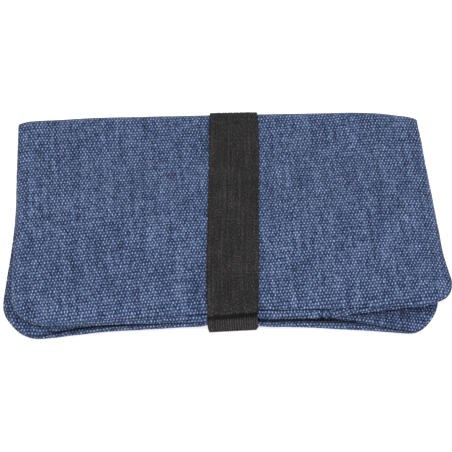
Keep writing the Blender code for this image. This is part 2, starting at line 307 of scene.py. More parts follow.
class BasePanel(Panel):
    sign = -1
    ledge = (0.55, 0.1)
    seam_width = (2.2, 4.5)
    left = ((0, 105.2), (0.2, 105.3), (0.45, 105.4), (0.6, 106.8), (0.75, 108.8), (0.9, 110.5), (1, 110.8))
    right = ((0, 104.2), (0.5, 106.0), (0.85, 107.9), (1, 108.4))

    def front_pull(self, x):
        """The band draws the middle of the front edge in, and the corners stay out."""
        return through(
            x, (-108, -1.3), (-103, -2.2), (-98, -3.8), (-91, -4.4), (-82, -3.8), (-70, -2.3), (-58, -0.95),
            (-40, 0.2), (-10, 1.1), (7, 1.0), (28, 0.3), (45, -0.6), (60, -1.9), (75, -3.1), (88, -4.6), (96, -5.8),
            (103, -4.4), (108, -2.8),
        ) + through(x, (-8, 0), (-5, 0.3), (14, 0.7), (17, 0.3), (20, 0))

    def heights(self, net, x, f):
        front = smooth((f - 0.75) / 0.25)
        arch = 1.0 * near_band(x)
        seam = MIDDLE - SEAM_BEND + arch * 0.6
        edge = through(
            x, (-108, 2.2), (-90, 2.6), (-80, 3.1), (-57, 3.6), (-32, 3.4), (5, 3.4), (38, 4.0), (59, 4.0), (72, 3.3),
            (84, 2.6), (96, 2.3), (106, 2.2),
        )
        seam = seam + (edge - seam) * front
        low = 0.15 + arch + 0.10 * ripple(net.x, net.y, 24, 1.5)
        high = 4.3 + 0.5 * arch + 0.2 * ripple(net.x, net.y, 30, 4.5)
        crest = through(x, (-90, 0.7), (-50, 0.9), (0, 0.8), (40, 1.5), (65, 1.6), (90, 0.8))
        roll = crest * bell(net.inset, 5, 5) * front
        return low, seam, high + roll

    def seam_depth(self, net):
        deep = through(
            net.x, (-108, 0.6), (-88, 1.4), (-78, 2.3), (-40, 2.5), (20, 2.6), (45, 3.1), (60, 3.6),
            (72, 2.9), (84, 1.7), (95, 0.9), (108, 0.6),
        )
        return np.where(net.out[:, 1] < -0.5, deep, 0.5)

    def seam_puff(self, net):
        """How far each cloth stands over the seam sunk between the two."""
        facing = smooth(-net.out[:, 1])
        outer = through(net.x, (-108, 0.3), (-80, 1.4), (-57, 2.1), (60, 2.1), (84, 1.1), (104, 0.4))
        return 0.2 + (outer - 0.2) * facing, 0.0 * net.x

    def outer_roll(self, net):
        belly = through(
            net.x, (-106, 0), (-102, 0.1), (-97, 0.7), (-88, 1.2), (-76, 1.4), (-50, 1.7), (-30, 1.8),
            (-21, 1.6), (-11, 1.8), (-7.6, 1.6), (-5, 0), (14.5, 0), (16.8, 1.5), (21, 2.1), (37, 1.7),
            (50, 1.7), (62, 1.7), (80, 1.3), (92, 0.9), (98, 0.5), (106, 0),
        )
        return 4.5 + 0 * net.x, 0.3 + smooth(-net.out[:, 1]) * belly + 0.15 * puckers(net, 1)

    def inner_roll(self, net):
        return 5.0 + 0 * net.x, 0.6 + 0.25 * puckers(net, 2)

    def shadows(self, net):
        """How dark each cloth is beside the front seam, which the cover overhangs."""
        middle = through(net.x, (-93, 0), (-80, 1), (70, 1), (82, 0.6), (94, 0))
        wide = through(
            net.x, (-85, 1.2), (-60, 0.9), (17, 0.8), (32, 1.3), (42, 2.6), (58, 2.5), (68, 1.4), (75, 0.9),
        )
        edges = (net.inset - 0.15) / 0.5, (net.inset - wide) / 1.6
        return tuple(middle * (1 - smooth(edge)) for edge in edges)


class CoverPanel(Panel):
    sign = 1
    ledge = (0.0, 0.0)
    seam_width = (1.1, 1.1)
    left = ((0, 105.2), (0.5, 105.0), (0.7, 105.8), (0.85, 106.5), (1, 107.0))
    right = (
        (0, 104.4), (0.1, 105.7), (0.2, 106.6), (0.4, 108.75), (0.6, 110.8), (0.7, 111.8),
        (0.8, 113.6), (0.87, 115.1), (0.95, 116.4), (1, 116.0),
    )

    def front_pull(self, x):
        return through(
            x, (-104, -0.8), (-86, -0.5), (-40, 1.7), (-8, 3.3), (18, 4.3), (60, 4.8), (90, 4.9), (98, 4.4),
            (103, 3.2), (108, 2.4),
        ) + through(x, (-12, 0), (-6, 0.7), (16, 0.7), (22, 0))

    def heights(self, net, x, f):
        front = smooth((f - 0.7) / 0.3)
        right = smooth((x - 62) / 46)
        left = smooth((-x - 60) / 46)
        lift = 2.6 * right * smooth((f - 0.55) / 0.45) - 1.0 * left * smooth((f - 0.5) / 0.5)
        seam = MIDDLE + SEAM_BEND + 0.6 * f + lift
        edge = through(x, (-108, 8.6), (-86, 9.1), (-40, 10.2), (10, 10.4), (60, 10.6), (95, 11.9), (112, 13.2))
        seam = seam + (edge - seam) * front
        dome = self.dome(x, f)
        band = near_band(x) * smooth(f / 0.12)
        top = 12.1 + 1.0 * f + dome + lift * 0.9 - band * (0.3 + 0.25 * dome)
        top = top + 0.3 * ripple(net.x, net.y, 34, 9.5) * smooth(f / 0.15) + 0.12 * ripple(net.x, net.y, 12, 2.5)
        below = 7.8 + 0.55 * dome + lift * 0.8 + 0.15 * ripple(net.x, net.y, 28, 6.5)
        drop = self.rim_drop(x)
        at_rim = front * np.exp(-((net.inset / 5.5) ** 3)) * smooth((f - 0.9) / 0.08)
        below = below + (seam - drop - below) * at_rim
        return top, seam, below + self.tuck(net.x) * at_rim

    def tuck(self, x):
        """Two pleats, a few millimetres apart, where the lining is caught against its seam."""
        x = x - TUCK
        return 3.6 * bell(x, -1.8, 0.75) + 3.0 * bell(x, 1.9, 0.75) - 0.4 * bell(x, 0, 0.8)

    def seam_depth(self, net):
        return 0.42 + 0.3 * ripple(net.x, net.y, 5, 5.5)

    def shadows(self, net):
        """The two tucks pulled into the lining by the front seam are dark inside."""
        spots = np.clip(sum(bell(net.x - TUCK, at, 0.8) for at in (-2.0, 1.9)), 0, 1)
        behind = smooth((net.inset - 1.2) / 1.2) * (1 - smooth((net.inset - 6) / 2))
        return 0 * net.x, 0.9 * spots * behind

    def seam_puff(self, net):
        return 0.15 * puckers(net, 5), 0.0 * net.x

    def dome(self, x, f):
        """The padding's swell, highest in the middle of the cover."""
        height = through(x, (-105, 1.7), (-77, 2.7), (-30, 4.1), (40, 4.1), (77, 3.1), (105, 2.2))
        share = through(
            f, (0, 0), (0.1, 0.04), (0.17, 0.1), (0.24, 0.25), (0.31, 0.48), (0.38, 0.73), (0.45, 0.91),
            (0.52, 1.0), (0.59, 0.96), (0.66, 0.83), (0.74, 0.64), (0.81, 0.46), (0.88, 0.32), (1, 0.1),
        )
        return height * share

    def rim_drop(self, x):
        """How far the lining sags below the seam along the front edge: most beside the band."""
        return through(
            x, (-104, 2.2), (-85, 2.8), (-60, 4.4), (-30, 5.4), (-8, 6.0), (20, 5.9), (48, 6.1), (54, 5.8), (59, 5.2),
            (70, 4.3), (84, 2.9), (108, 2.2),
        )

    def rim_bulge(self, x):
        return through(
            x, (-104, 0.2), (-80, 0.7), (-57, 1.3), (-30, 2.2), (-8, 2.6), (20, 2.9), (38, 3.3), (50, 3.2), (58, 2.0),
            (70, 1.3), (86, 0.4), (108, 0.2),
        )

    def outer_roll(self, net):
        return 6.5 + 0 * net.x, 0.35 + 0.25 * puckers(net, 3)

    def inner_roll(self, net):
        facing = smooth(-net.out[:, 1])
        return 5.0 - 1.2 * facing, 0.3 + self.rim_bulge(net.x) * facing + 0.3 * puckers(net, 4)


BASE = BasePanel()
COVER = CoverPanel()

# ---- meshes


def cloth_mesh(name, points, faces, uv, flip):
    """A mesh from points in millimetres, with the cloth's flat coordinates in metres as its UV map."""
    mesh = bpy.data.meshes.new(name)
    faces = [tuple(reversed(f)) for f in faces] if flip else faces
    mesh.from_pydata([tuple(p * MM) for p in points], [], faces)
    layer = mesh.uv_layers.new(name="Cloth")
    loops = np.zeros(len(mesh.loops), np.int32)
    mesh.loops.foreach_get("vertex_index", loops)
    layer.data.foreach_set("uv", (uv[loops] * MM).astype(np.float32).ravel())
    mesh.shade_smooth()
    obj = bpy.data.objects.new(name, mesh)
    bpy.context.scene.collection.objects.link(obj)
    return obj


def sink(obj, amount):
    """Stores painted shade on each point, from 0 to 1; the cloth's material is painted that much darker there."""
    marks = obj.data.attributes.new("PaintedShade", "FLOAT", "POINT")
    marks.data.foreach_set("value", np.asarray(amount, np.float32))


def thicken(obj):
    """Rounds the sheet, and gives it the canvas's thickness behind the face that shows."""
    soft = obj.modifiers.new("Soft", "SUBSURF")
    soft.levels = soft.render_levels = 1
    soft.boundary_smooth = "PRESERVE_CORNERS"
    solid = obj.modifiers.new("Thickness", "SOLIDIFY")
    solid.thickness = CLOTH * MM
    solid.offset = -1.0


def off_grain(x, y, f):
    """Flat coordinates along the weft and the warp, which run a few degrees off the case's edges and bow.

    y runs over the cloth from the base's front edge round the fold to the cover's, and f is 0 at the
    fold and 1 at a front edge.
    """
    across = x - 0.06 * y - (x - 10) * (0.049 * f - 0.0655 * f**2)
    along = y + 0.072 * x + 0.00042 * x**2 * (1 - f) ** 2
    return np.stack([across, along], 1)


def along_cloth(points, flat):
    """Flat coordinates corrected so that the rolled edges keep the cloth's real length."""
    moved = flat.copy()
    for spoke in NET.spokes:
        true = np.linalg.norm(np.diff(points[spoke], axis=0), axis=1)
        laid = np.linalg.norm(np.diff(flat[spoke], axis=0), axis=1)
        extra = np.concatenate([[0], np.cumsum(true - laid)])
        ahead = flat[spoke][-1] - flat[spoke][0]
        moved[spoke] += ahead / np.linalg.norm(ahead) * extra[:, None]
    return moved


def build_panel(panel, names, materials):
    """The panel's outer cloth and its lining, which meet at the seam."""
    outer, inner = panel.layers(NET)
    f = forward(NET.y)
    run = FOLD - FRONT + MIDDLE * math.pi / 2
    made = []
    for k, (points, bend) in enumerate(((outer, MIDDLE), (inner, 5.6))):
        flat_y = NET.y - FRONT + bend * NET.turn
        if panel.sign > 0 and k == 0:
            flat_y = 2 * run - flat_y
        flat = along_cloth(points, np.stack([points[:, 0], flat_y], 1))
        uv = off_grain(flat[:, 0] + 31 * k, flat[:, 1], f)
        made.append(cloth_mesh(names[k], points, NET.faces, uv, (panel.sign < 0) == (k == 0)))
    # Painted shade on the cloth facing the front: the shadow beside the front seam under the cover's edge, and the
    # shade inside the cover's two tucks.
    for obj, material, dark in zip(made, materials, panel.shadows(NET)):
        sink(obj, dark * smooth(-NET.out[:, 1]))
        obj.data.materials.append(material)
        thicken(obj)
    return made


# ---- materials


class Graph:
    """Short ways to add and join shader nodes."""

    def __init__(self, name):
        self.material = bpy.data.materials.new(name)
        self.material.use_nodes = True
        self.nodes = self.material.node_tree.nodes
        self.links = self.material.node_tree.links
        self.shader = self.nodes["Principled BSDF"]

    def feed(self, socket, value):
        if isinstance(value, bpy.types.NodeSocket):
            self.links.new(value, socket)
        else:
            socket.default_value = value

    def add(self, kind, inputs=None, output=0, **settings):
        node = self.nodes.new(kind)
        for key, value in settings.items():
            setattr(node, key, value)
        for key, value in (inputs or {}).items():
            self.feed(node.inputs[key], value)
        return node.outputs[output]

    def math(self, operation, *values):
        return self.add("ShaderNodeMath", dict(enumerate(values)), operation=operation)

    def vector(self, x, y, z=0.0):
        return self.add("ShaderNodeCombineXYZ", {0: x, 1: y, 2: z})

    def noise(self, vector, scale=1.0, detail=2.0, roughness=0.5):
        inputs = {"Vector": vector, "Scale": scale, "Detail": detail, "Roughness": roughness}
        return self.add("ShaderNodeTexNoise", inputs)

    def between(self, value, low, high, to_low=0.0, to_high=1.0, kind="SMOOTHSTEP"):
        inputs = {"Value": value, "From Min": low, "From Max": high, "To Min": to_low, "To Max": to_high}
        return self.add("ShaderNodeMapRange", inputs, interpolation_type=kind)

    def linear(self, value, low, high, to_low, to_high):
        return self.between(value, low, high, to_low, to_high, "LINEAR")

    def swing(self, value, low, high, reach):
        return self.linear(value, low, high, -reach, reach)

    def times(self, a, b):
        return self.math("MULTIPLY", a, b)

    def lay_flat(self, across, along, seed=0.0):
        """The cloth's flat coordinates, in steps of so many millimetres across and along it."""
        parts = self.add("ShaderNodeSeparateXYZ", {0: self.add("ShaderNodeUVMap", uv_map="Cloth")}).node.outputs
        self.u = self.math("DIVIDE", parts[0], across * MM)
        self.v = self.math("DIVIDE", parts[1], along * MM)
        self.seed = seed
        return self.u, self.v

    def grain(self, across, along, offset, detail=2.0, roughness=0.5):
        """Noise over the flat cloth, so many times as fine as its steps."""
        place = self.vector(self.times(self.u, across), self.times(self.v, along), self.seed + offset)
        return self.noise(place, 1.0, detail, roughness)

    def sum(self, *terms):
        total = terms[0]
        for term in terms[1:]:
            total = self.math("ADD", total, term)
        return total

    def ramp(self, value, stops):
        node = self.nodes.new("ShaderNodeValToRGB")
        elements = node.color_ramp.elements
        while len(elements) < len(stops):
            elements.new(0.5)
        for element, (place, colour) in zip(elements, stops):
            element.position = place
            element.color = (*colour, 1.0)
        self.feed(node.inputs[0], value)
        return node.outputs[0]

    def shaded(self, colour):
        """The colour with painted shade: darker by the amount stored on the points, where shade falls in a seam or
        under an edge.
        """
        painted_shade_amount = self.add("ShaderNodeAttribute", output=2, attribute_name="PaintedShade")
        left = self.linear(painted_shade_amount, 0.0, 1.0, 1.0, 0.08)
        return self.add("ShaderNodeVectorMath", {0: colour, "Scale": left}, operation="SCALE")

    def finish(self, colour, roughness, height, distance, strength=1.0, sheen=0.0, specular=0.12):
        self.feed(self.shader.inputs["Base Color"], colour)
        self.feed(self.shader.inputs["Roughness"], roughness)
        inputs = {"Height": height, "Distance": distance, "Strength": strength}
        self.feed(self.shader.inputs["Normal"], self.add("ShaderNodeBump", inputs))
        self.shader.inputs["Specular IOR Level"].default_value = specular
        self.shader.inputs["Sheen Weight"].default_value = sheen
        self.shader.inputs["Sheen Roughness"].default_value = 0.35
        return self.material


def canvas_material(name, stops, seed=0.0):
    """Two-tone plain weave: pale warp floats stand like seeds on dark weft, with slubs and faded patches."""
    g = Graph(name)
    u, v = g.lay_flat(WARP, WEFT, seed)
    sway = g.grain(0.3, 0.45, 3, 3.0, 0.6)
    drift = g.grain(0.4, 0.32, 9, 3.0, 0.6)
    u2 = g.math("ADD", u, g.swing(sway, 0.0, 1.0, 0.75))
    v2 = g.math("ADD", v, g.swing(drift, 0.0, 1.0, 0.55))
    across = g.math("COSINE", g.times(u2, math.pi))
    along = g.math("COSINE", g.times(v2, math.pi))
    cross = g.times(across, along)
    rows = g.math("ABSOLUTE", along)
    threads = g.math("ABSOLUTE", across)

    each = g.noise(g.vector(u2, v2, seed + 5), 0.9, 0.0)
    fibre = g.grain(2.6, 2.4, 1, 2.0, 0.65)
    warp_streak = g.grain(0.5, 0.05, 2)
    weft_streak = g.grain(0.06, 0.8, 4)
    patch = g.grain(0.15, 0.06, 6, 3.0)

    float_up = g.between(cross, 0.05, 0.9)
    tone = g.sum(
        g.times(float_up, 0.56),
        g.linear(rows, 0.1, 0.95, -0.10, 0.09),
        g.linear(threads, 0.1, 0.95, -0.06, 0.05),
        g.swing(each, 0.25, 0.75, 0.16),
        g.swing(fibre, 0.2, 0.8, 0.12),
        g.swing(warp_streak, 0.25, 0.75, 0.12),
        g.swing(weft_streak, 0.25, 0.75, 0.07),
        g.swing(patch, 0.3, 0.7, 0.08),
        0.235,
    )
    colour = g.ramp(tone, stops)
    up = g.math("MAXIMUM", cross, 0.0)
    down = g.times(g.math("MAXIMUM", g.times(cross, -1.0), 0.0), 0.5)
    height = g.sum(g.math("POWER", up, 0.8), down, g.times(fibre, 0.3), g.times(each, 0.35))
    rough = g.linear(float_up, 0.0, 1.0, 0.95, 0.82)
    return g.finish(g.shaded(colour), rough, height, 0.00045, 0.9, 0.16)


def elastic_material(name, stops, rib_pitch, rib_shade_and_light):
    """Woven elastic: ribs along it, fine picks across them, and a little lint. The rib grooves get painted shade and
    the rib crests painted highlight.
    """
    g = Graph(name)
    u, v = g.lay_flat(1, 1)
    sway = g.swing(g.grain(0.5, 0.12, 1), 0.2, 0.8, 0.12)
    swayed = g.times(g.math("ADD", u, sway), math.pi / rib_pitch)
    rib = g.math("ABSOLUTE", g.math("COSINE", swayed))
    picks = g.math("SINE", g.times(v, 2 * math.pi / 0.8))
    grain = g.grain(1.25, 1.1, 2, 2.0, 0.7)
    fine = g.grain(3.0, 2.4, 3, 1.0)
    lines = g.grain(1.1, 0.03, 4, 2.0, 0.7)
    patch = g.grain(0.12, 0.1, 8)
    lint = g.grain(1.1, 1.1, 12, 0.0)
    tone = g.sum(
        g.between(rib, 0.1, 0.9, -rib_shade_and_light, rib_shade_and_light),
        g.times(picks, 0.03),
        g.swing(grain, 0.25, 0.75, 0.5),
        g.swing(fine, 0.2, 0.8, 0.2),
        g.swing(lines, 0.25, 0.75, 0.2),
        g.swing(patch, 0.3, 0.7, 0.08),
        g.between(lint, 0.76, 0.86, 0.0, 0.5),
        0.5,
    )
    colour = g.ramp(tone, stops)
    height = g.sum(g.times(rib, 0.8), g.times(picks, 0.15), g.times(grain, 1.0))
    rough = g.linear(grain, 0.3, 0.7, 0.75, 0.9)
    return g.finish(g.shaded(colour), rough, height, 0.0002, 0.8, 0.02, 0.08)


def thread_material(name, dark, light):
    """Twisted thread: fine slanting plies along it."""
    g = Graph(name)
    place = g.add("ShaderNodeTexCoord", output="Object")
    parts = g.add("ShaderNodeSeparateXYZ", {0: place}).node.outputs
    along = g.sum(parts[0], parts[1], g.times(parts[2], 1.3))
    ply = g.math("SINE", g.times(along, 2 * math.pi / (0.45 * MM)))
    fuzz = g.noise(place, 4000.0, 2.0)
    tone = g.sum(g.times(ply, 0.25), fuzz)
    colour = g.ramp(tone, [(0.15, dark), (0.85, light)])
    rough = g.linear(fuzz, 0.3, 0.7, 0.45, 0.65)
    return g.finish(colour, rough, g.math("ADD", ply, fuzz), 0.00008, 0.6, 0.05)


def tape_material(name, dark, light, pitch):
    """Narrow woven tape with a herringbone face."""
    g = Graph(name)
    u, v = g.lay_flat(pitch, pitch)
    zigzag = g.math("PINGPONG", v, 2.2)
    slant = g.math("SINE", g.times(g.math("ADD", u, zigzag), 2 * math.pi))
    grain = g.grain(1.3, 1.3, 0, 3.0, 0.6)
    wear = g.grain(0.05, 0.05, 5)
    tone = g.sum(g.times(slant, 0.16), grain, g.swing(wear, 0.3, 0.7, 0.12))
    colour = g.ramp(tone, [(0.2, dark), (0.8, light)])
    rough = g.linear(grain, 0.3, 0.7, 0.7, 0.85)
    return g.finish(colour, rough, g.sum(slant, grain), 0.00015, 0.6, 0.08)


def pile_material(name, dark, light, size):
    """Matted fibres, as on wadding and on hook and loop tape."""
    g = Graph(name)
    place = g.add("ShaderNodeTexCoord", output="Object")
    fibres = g.noise(place, 1 / (size * MM), 4.0, 0.7)
    clumps = g.noise(place, 0.12 / (size * MM), 2.0)
    tone = g.sum(fibres, g.swing(clumps, 0.3, 0.7, 0.15))
    colour = g.ramp(tone, [(0.25, dark), (0.75, light)])
    rough = g.linear(fibres, 0.3, 0.7, 0.85, 0.98)
    return g.finish(colour, rough, fibres, size * 0.4 * MM, 0.8, 0.1)


DENIM = [
    (0.00, (0.010, 0.015, 0.042)),
    (0.25, (0.026, 0.041, 0.103)),
    (0.50, (0.064, 0.098, 0.203)),
    (0.75, (0.140, 0.215, 0.380)),
    (1.00, (0.300, 0.410, 0.590)),
]
BLACK = [
    (0.00, (0.0045, 0.0042, 0.0043)),
    (0.35, (0.0136, 0.0128, 0.0130)),
    (0.65, (0.0262, 0.0246, 0.0248)),
    (1.00, (0.0760, 0.0712, 0.0716)),
]
# Palette of the ribbed run, close to the strap's black.
RIBBED_BLACK = [
    (0.00, (0.0040, 0.0037, 0.0039)),
    (0.35, (0.0120, 0.0112, 0.0117)),
    (0.65, (0.0270, 0.0250, 0.0260)),
    (1.00, (0.0620, 0.0580, 0.0600)),
]
canvas = canvas_material("denim_canvas", DENIM)
lining = canvas_material("denim_lining", DENIM, 40.0)
elastic = elastic_material("black_elastic", BLACK, 0.62, 0.05)
# The ribbed run, with strong painted shade in its rib grooves and painted highlight on the crests.
ribbed = elastic_material("ribbed_elastic", RIBBED_BLACK, 1.19, 0.26)
navy_thread = thread_material("navy_thread", (0.020, 0.030, 0.070), (0.090, 0.120, 0.220))
black_thread = thread_material("black_thread", (0.010, 0.010, 0.010), (0.060, 0.058, 0.058))
binding = tape_material("binding_tape", (0.012, 0.015, 0.030), (0.060, 0.070, 0.110), 0.7)
wadding = pile_material("wadding", (0.42, 0.41, 0.39), (0.78, 0.77, 0.74), 0.9)
# Nearly black; where the hook tape shows below the lip, this dark also serves as painted shadow.
hook_loop = pile_material("hook_and_loop", (0.002, 0.002, 0.002), (0.014, 0.013, 0.013), 0.35)

# ---- the panels

base_out, base_in = build_panel(BASE, ("base_panel_canvas", "base_panel_lining"), (canvas, lining))
cover_out, cover_in = build_panel(COVER, ("cover_panel_canvas", "cover_panel_lining"), (canvas, lining))


def join_base(obj):
    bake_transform(obj)


def join_cover(obj):
    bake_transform(obj)


for obj in (base_out, base_in):
    join_base(obj)
for obj in (cover_out, cover_in):
    join_cover(obj)
for obj, nodes, held, slot in (
    (base_out, ("base_outer", "spine_outer"), "stretched", "denim_canvas"),
    (base_in, ("base_lining", "spine_lining"), "laid", "denim_lining"),
    (cover_out, ("cover_outer",), "stretched", "denim_canvas"),
    (cover_in, ("cover_lining",), "laid", "denim_lining"),
):
    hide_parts(*nodes)

# ---- wadding between the cloths


def closed_mesh(name, front, back, uv, material):
    """A closed body between two grids of points, (rows, columns, 3) in millimetres each.

    Seen from the front grid's side, its rows run anticlockwise to its columns.
    """
    rows, columns = front.shape[:2]
    points = np.concatenate([front.reshape(-1, 3), back.reshape(-1, 3)])
    flat = np.concatenate([uv.reshape(-1, 2)] * 2)
    count = rows * columns
    at = lambda i, j, side: side * count + i * columns + j
    faces = []
    for i in range(rows - 1):
        for j in range(columns - 1):
            faces.append((at(i, j, 0), at(i, j + 1, 0), at(i + 1, j + 1, 0), at(i + 1, j, 0)))
            faces.append((at(i, j, 1), at(i + 1, j, 1), at(i + 1, j + 1, 1), at(i, j + 1, 1)))
    for i in range(rows - 1):
        for j, flip in ((0, False), (columns - 1, True)):
            ring = (at(i, j, 0), at(i + 1, j, 0), at(i + 1, j, 1), at(i, j, 1))
            faces.append(tuple(reversed(ring)) if flip else ring)
    for j in range(columns - 1):
        for i, flip in ((0, True), (rows - 1, False)):
            ring = (at(i, j, 0), at(i, j + 1, 0), at(i, j + 1, 1), at(i, j, 1))
            faces.append(tuple(reversed(ring)) if flip else ring)
    obj = cloth_mesh(name, points, faces, flat, False)
    obj.data.set_sharp_from_angle(angle=math.radians(50))
    obj.data.materials.append(material)
    return obj


def build_wadding(panel, name):
    """The batt between the canvas and the lining, cut short of the rolled edge."""
    columns = np.linspace(-HALF + 7, HALF - 7, 48)
    rows = np.linspace(FRONT + 7, FOLD - 1, 30)
    x, y = np.meshgrid(columns, rows)
    clip = np.maximum(0, np.abs(x) - (HALF - 7 - 10))
    y = np.where(y < FRONT + 40, y + clip * (FRONT + 40 - y) / 33, y)
    spots = Spots(x, y)
    outer, inner = (p.reshape(*x.shape, 3) for p in panel.layers(spots))
    gap = np.linalg.norm(inner - outer, axis=2, keepdims=True)
    step = (inner - outer) / np.maximum(gap, 1e-6)
    low = outer + step * (CLOTH + 0.12)
    high = outer + step * np.maximum(gap - CLOTH - 0.12, CLOTH + 0.35)
    uv = np.stack([x, y], 2)
    front, back = (high, low) if panel.sign < 0 else (low, high)
    return closed_mesh(name, front, back, uv, wadding)


base_wad = build_wadding(BASE, "base_panel_wadding")
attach(base_wad, "base")
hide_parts("base_interlining", "spine_interlining")
cover_wad = build_wadding(COVER, "cover_panel_wadding")
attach(cover_wad, "cover")
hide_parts("cover_interlining")

# ---- grids that lie on the panels


def unit(vectors):
    return vectors / np.linalg.norm(vectors, axis=-1, keepdims=True)


def normals(grid):
    """Unit normals of a grid of points, on the side of its columns turned towards its rows."""
    along = np.gradient(grid, axis=0)
    across = np.gradient(grid, axis=1)
    found = np.cross(across, along)
    return found / np.maximum(np.linalg.norm(found, axis=2, keepdims=True), 1e-9)


def lengths(grid):
    """Flat coordinates of a grid's points: distance across from its first column, and along it."""
    across = np.linalg.norm(np.diff(grid, axis=1), axis=2)
    across = np.concatenate([np.zeros((len(grid), 1)), np.cumsum(across, 1)], 1)
    middle = grid[:, grid.shape[1] // 2]
    along = np.concatenate([[0], np.cumsum(np.linalg.norm(np.diff(middle, axis=0), axis=1))])
    return np.stack([across, np.repeat(along[:, None], grid.shape[1], 1)], 2)


def flat_of(grid):
    """Width and length of a grid's cloth, in metres, from its middle lines."""
    across = np.linalg.norm(np.diff(grid[len(grid) // 2], axis=0), axis=1).sum()
    along = np.linalg.norm(np.diff(grid[:, grid.shape[1] // 2], axis=0), axis=1).sum()
    return across * MM, along * MM


def stitches(name, paths, material, length=2.5, gap=0.9, radius=0.22, sink=0.06):
    """Separate stitches along paths of (points, normals): each dives into the cloth at its ends."""
    points, faces = [], []
    sides, rings = 6, 5
    for path, up in paths:
        steps = np.linalg.norm(np.diff(path, axis=0), axis=1)
        along = np.concatenate([[0], np.cumsum(steps)])
        count = max(1, int((along[-1] + gap) / (length + gap)))
        offset = (along[-1] - count * (length + gap) + gap) / 2
        for k in range(count):
            s = offset + k * (length + gap) + np.linspace(0, length, rings)
            centre = np.stack([np.interp(s, along, path[:, i]) for i in range(3)], 1)
            normal = unit(np.stack([np.interp(s, along, up[:, i]) for i in range(3)], 1))
            side = np.cross(unit(np.gradient(centre, axis=0)), normal)
            arc = np.sin(np.linspace(0, math.pi, rings)) ** 0.5
            centre = centre + normal * (radius * (arc * 1.1 - 0.6) - sink)[:, None]
            first = len(points)
            for r in range(rings):
                size = radius * (0.45 + 0.55 * arc[r])
                for q in range(sides):
                    a = 2 * math.pi * q / sides
                    points.append(centre[r] + size * (math.cos(a) * side[r] + math.sin(a) * normal[r] * 0.8))
            for r in range(rings - 1):
                for q in range(sides):
                    n = (q + 1) % sides
                    a, b = first + r * sides, first + (r + 1) * sides
                    faces.append((a + q, a + n, b + n, b + q))
            faces.append(tuple(first + q for q in reversed(range(sides))))
            faces.append(tuple(first + (rings - 1) * sides + q for q in range(sides)))
    points = np.array(points)
    obj = cloth_mesh(name, points, faces, points[:, :2], False)
    obj.data.materials.append(material)
    return obj


def facing(path, up):
    """The path, with the same normal at each of its points."""
    return path, np.tile(up, (len(path), 1))


# Tape folded over a cloth's edge: its places across the edge, and how far it stands off the cloth there.
EDGE_ACROSS = np.array([-2.6, -2.3, -1.6, -0.4, 0.9, 1.9, 2.5, 2.75])
EDGE_ROUND = np.array([0.0, 0.32, 0.42, 0.44, 0.44, 0.40, 0.26, 0.0])


def edge_tape(name, face, up, round_off, thick, uv, turned=False):
    """The tape, from the cloth's own surface under it, and the tape's upper face."""
    off = round_off[None, :, None]
    top = face + up * (off - 0.02)
    bottom = face - up * (thick * 0.5 + (off - 0.1))
    if turned:
        top, bottom, uv = (a[:, ::-1] for a in (top, bottom, uv))
    return closed_mesh(name, top, bottom, uv, binding), top


# ---- pockets

POCKET_X = (-100.0, 21.0)
POCKET_Y = (-54.5, 53.5)
POCKET_THICK = 0.6


def pocket_surface(panel, x, y, pockets):
    """Points of a pocket panel's outside: it puffs off the lining between its stitch lines."""
    spots = Spots(x, y)
    inner = panel.layers(spots)[1].reshape(*np.shape(x), 3)
    side = -panel.sign
    share = (y - POCKET_Y[0]) / (POCKET_Y[1] - POCKET_Y[0]) * pockets
    puffed = np.abs(np.sin(math.pi * share)) ** 0.8 * smooth((x - POCKET_X[0]) / 15)
    sag = ripple(x.ravel(), y.ravel(), 13, 11.5 + panel.sign).reshape(x.shape)
    stand = 0.06 + POCKET_THICK + (0.55 + 0.25 * sag) * puffed
    return inner + np.array([0, 0, side]) * stand[..., None]


